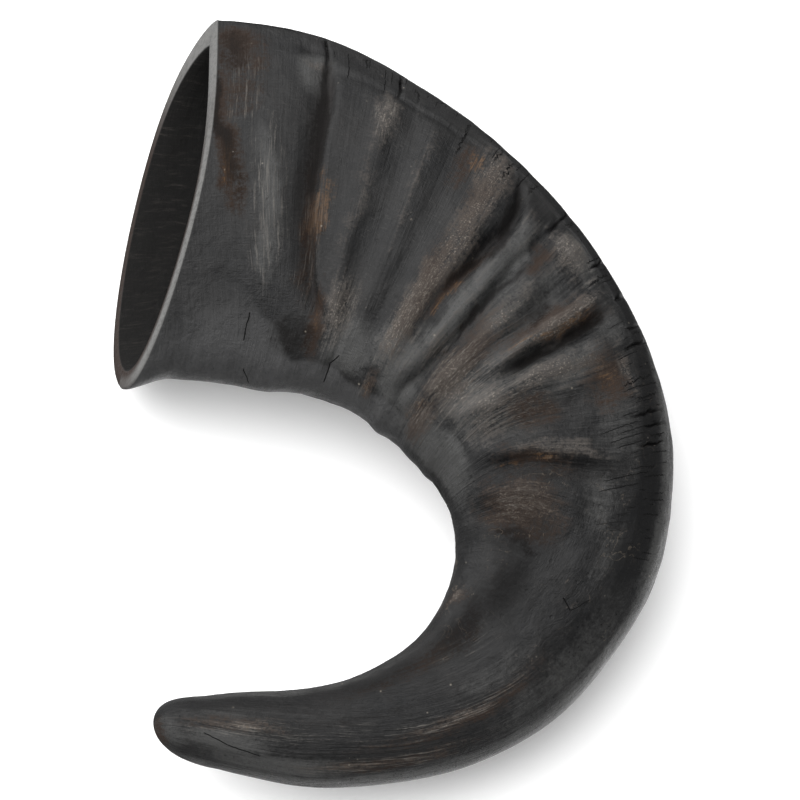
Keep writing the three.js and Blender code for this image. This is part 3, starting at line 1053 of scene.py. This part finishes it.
def worn_places_and_painted_light(graph, skin):
    """Where the horn is stained, worn, grooved or sawn, and where shade and highlights are
    painted: a share from 0 to 1 for each kind.
    """
    station, inside, lift = graph.field("station"), graph.field("inside"), graph.field("lift")
    crest = lift.step(0.3, 2.2)

    def ragged(patch, low, high, amount=1.0):
        """A patch whose inside and edge are broken up by the grain."""
        return (patch + skin.mottle * amount).step(low, high) * patch.step(0.03, 0.3)

    wear_and_painted_light = SimpleNamespace()
    wear_and_painted_light.brown = ragged(graph.field("brown"), 0.0, 0.9)
    wear_and_painted_light.orange = ragged(graph.field("orange"), 0.2, 0.8) * skin.lines.step(0.38, 0.62)
    wear_and_painted_light.pale = ragged(graph.field("pale") + crest * 0.3, 0.2, 1.2, 1.4)
    wear_and_painted_light.grey = ragged(graph.field("grey"), 0.0, 0.9, 0.5)
    wear_and_painted_light.dark = ragged(graph.field("dark"), 0.1, 0.7, 0.4)
    # painted shade: the band along the inside of the arm, and the strip beside the crease
    wear_and_painted_light.shade = graph.field("shade")
    wear_and_painted_light.strip = graph.field("strip")
    streak = skin.wrinkle * 0.5 + skin.lines * 0.3 + skin.grain * 0.2
    wear_and_painted_light.streaks = ragged(graph.field("lines"), 0.1, 0.7, 0.6) * streak.step(0.5, 0.62)
    rubbed = (graph.field("pale") + crest * 0.25).step(0.4, 1.15)
    wear_and_painted_light.white = rubbed * skin.fine_grit.step(0.52, 0.68) * skin.wrinkle.step(0.42, 0.58)
    # thin lines where a noise crosses its middle
    wavy = (graph.noise(120, None, 2, 0.5, 1.5) - 0.5).calc("ABSOLUTE").step(0.012, 0.004)
    wavy = wavy * skin.cloud.step(0.46, 0.56) * skin.grit.step(0.42, 0.55)
    wear_and_painted_light.squiggle = wavy * station.step(4.5, 6.5) * station.step(9.0, 7.8)
    # where the relief lies low, in the grooves; the colour paints shade there
    wear_and_painted_light.groove = lift.step(-0.2, -3.6)
    wear_and_painted_light.bore = inside.step(0.7, 0.9)
    wear_and_painted_light.rim = inside.step(0.1, 0.25) * inside.step(0.9, 0.7)
    wear_and_painted_light.saw = graph.noise(700, None, 3, 0.6)
    return wear_and_painted_light


def bore_colour(graph, skin):
    """Nearly black, with brownish streaks along the hollow."""
    bore_space = graph.join(graph.field("along") * 0.12, graph.field("around"), 7.0)
    streaks = graph.noise(1.2, bore_space, 5, 0.75)
    share = streaks.step(0.5, 0.75) * skin.cloud.step(0.3, 0.6, 0.2, 1.0)
    return graph.blend(share, (0.003, 0.0028, 0.0026), (0.017, 0.015, 0.0135))


def rim_colour(graph):
    """Grey on the near side of the sawn rim and by the keel, and brown on the far side."""
    side, angle, inside = graph.field("side"), graph.field("angle"), graph.field("inside")
    lip = angle.step(140, 172)
    grey = side * (lip * -0.6 + 1) * inside.step(0.66, 0.42) * angle.step(20, 75, 0.4, 1.0)
    grey = grey.calc("MAXIMUM", angle.step(85, 35))
    return graph.blend(grey, (0.02, 0.0125, 0.0095), (0.115, 0.114, 0.111))


def horn_colour(graph, skin, wear_and_painted_light, cracks):
    """Layers of colour, each a share and a colour, laid over one another from black up."""
    station, angle, throat = graph.field("station"), graph.field("angle"), graph.field("throat")
    smooth_throat = throat * station.step(4.2, 2.8) * angle.step(110, 134, 0.1, 1.0)
    clouds = skin.cloud.step(0.35, 0.65)
    colour = graph.blend(clouds, (0.0055, 0.0056, 0.006), (0.0105, 0.0102, 0.0102))
    layers = (
        # grain and hairlines
        (skin.mottle.step(0.05, 0.8) * 0.5, (0.03, 0.029, 0.028)),
        (skin.mottle.step(-0.05, -0.7) * 0.6, (0.003, 0.003, 0.003)),
        (skin.lines.step(0.52, 0.7) * skin.calm * 0.35, (0.035, 0.0345, 0.0335)),
        (skin.hair.step(0.44, 0.34) * skin.hair_share * 0.5, (0.003, 0.003, 0.003)),
        (skin.hair.step(0.58, 0.7) * skin.hair_share * 0.4, (0.045, 0.043, 0.04)),
        # the grey of the smooth throat, a lighter layer with painted light added where it faces
        # away from the light, and dark fibres towards the tip
        (smooth_throat * skin.mottle.step(-0.8, 0.5, 0.5, 0.9), (0.05, 0.05, 0.0505)),
        (skin.lines.step(0.45, 0.33) * skin.toward_tip * 0.7, (0.0035, 0.0025, 0.002)),
        # worn and stained places, and painted shade and painted highlights
        # lighter grey horn, and painted highlights along the keel side of the arm and on the tip
        (wear_and_painted_light.grey * 0.7, (0.062, 0.062, 0.0605)),
        (wear_and_painted_light.brown * 0.9, (0.022, 0.0125, 0.0078)),
        (wear_and_painted_light.pale * 0.65, (0.06, 0.052, 0.046)),
        (wear_and_painted_light.orange * 0.85, (0.1, 0.056, 0.027)),
        (wear_and_painted_light.streaks * 0.62, (0.135, 0.125, 0.112)),
        (wear_and_painted_light.white * 0.75, (0.23, 0.2, 0.17)),
        # painted shade: the grooves darkened by how deep the relief lies
        (wear_and_painted_light.groove * 0.5, (0.01, 0.0065, 0.005)),
        # painted shade: the band along the inside of the arm
        (wear_and_painted_light.shade * 0.85, (0.003, 0.0027, 0.0027)),
        # darker horn, and painted shade where a dark place lies in a groove
        (wear_and_painted_light.dark * 0.8, (0.004, 0.0033, 0.003)),
        # painted shade on the facet beside the crease
        (wear_and_painted_light.strip * 0.8, (0.0025, 0.0025, 0.0028)),
        # small marks, and cracks and scratches painted near black: painted shade inside them
        (wear_and_painted_light.squiggle * 0.5, (0.11, 0.09, 0.07)),
        (skin.specks * 0.6, (0.2, 0.18, 0.15)),
        (cracks, (0.001, 0.001, 0.001)),
        # the hollow and the sawn rim
        (wear_and_painted_light.bore, bore_colour(graph, skin)),
        (wear_and_painted_light.rim * wear_and_painted_light.saw.step(0.2, 0.6, 0.6, 1.0), rim_colour(graph)),
    )
    for share, tone in layers:
        colour = graph.blend(share, colour, tone)
    return colour


def horn_roughness(skin, wear_and_painted_light, cracks):
    """The polish: worn, stained and grooved places are duller, and the bore is the dullest."""
    rough = (skin.cloud * 0.16 + (skin.grit - 0.5) * 0.5 + (skin.lines - 0.5) * 0.3 + 0.3
             + wear_and_painted_light.brown * 0.35 + wear_and_painted_light.pale * 0.12 - wear_and_painted_light.grey * 0.06
             + wear_and_painted_light.groove * 0.3 + wear_and_painted_light.dark * 0.4 + wear_and_painted_light.strip * 0.3 + wear_and_painted_light.shade * 0.5
             + wear_and_painted_light.bore * 0.6 + wear_and_painted_light.rim * 0.3 + cracks * 0.6)
    return rough.calc("MINIMUM", 0.95).calc("MAXIMUM", 0.15)


def fine_relief(graph, skin, wear_and_painted_light, cracks):
    """Height of the surface's small detail, in millimetres."""
    lined = graph.field("lines")
    return (skin.grain * skin.calm * 0.6 + skin.lines * (lined + 0.35) * skin.calm * 0.12
            + skin.wrinkle * lined * 0.16 + skin.hair * skin.hair_share * 0.14
            + skin.blotch * 0.6 + skin.grit * 0.07
            - skin.pits * 0.12 - cracks + wear_and_painted_light.rim * wear_and_painted_light.saw * 0.2)


def horn_material():
    material = bpy.data.materials.new("horn_keratin")
    material.use_nodes = True
    tree = material.node_tree
    shader = tree.nodes["Principled BSDF"]
    graph = HornGraph(tree)
    skin = grain_patterns(graph)
    cracks = all_cracks(graph)
    wear_and_painted_light = worn_places_and_painted_light(graph, skin)
    bump = tree.nodes.new("ShaderNodeBump")
    bump.inputs["Strength"].default_value = 1.0
    bump.inputs["Distance"].default_value = MM
    tree.links.new(fine_relief(graph, skin, wear_and_painted_light, cracks).socket, bump.inputs["Height"])
    tree.links.new(bump.outputs["Normal"], shader.inputs["Normal"])
    tree.links.new(horn_colour(graph, skin, wear_and_painted_light, cracks), shader.inputs["Base Color"])
    tree.links.new(horn_roughness(skin, wear_and_painted_light, cracks).socket, shader.inputs["Roughness"])
    shader.inputs["Specular IOR Level"].default_value = 0.2
    return material


build_camera()
build_floor()
build_light()
horn = build_horn()
horn.data.materials.append(horn_material())
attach(horn, "root")
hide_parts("horn")
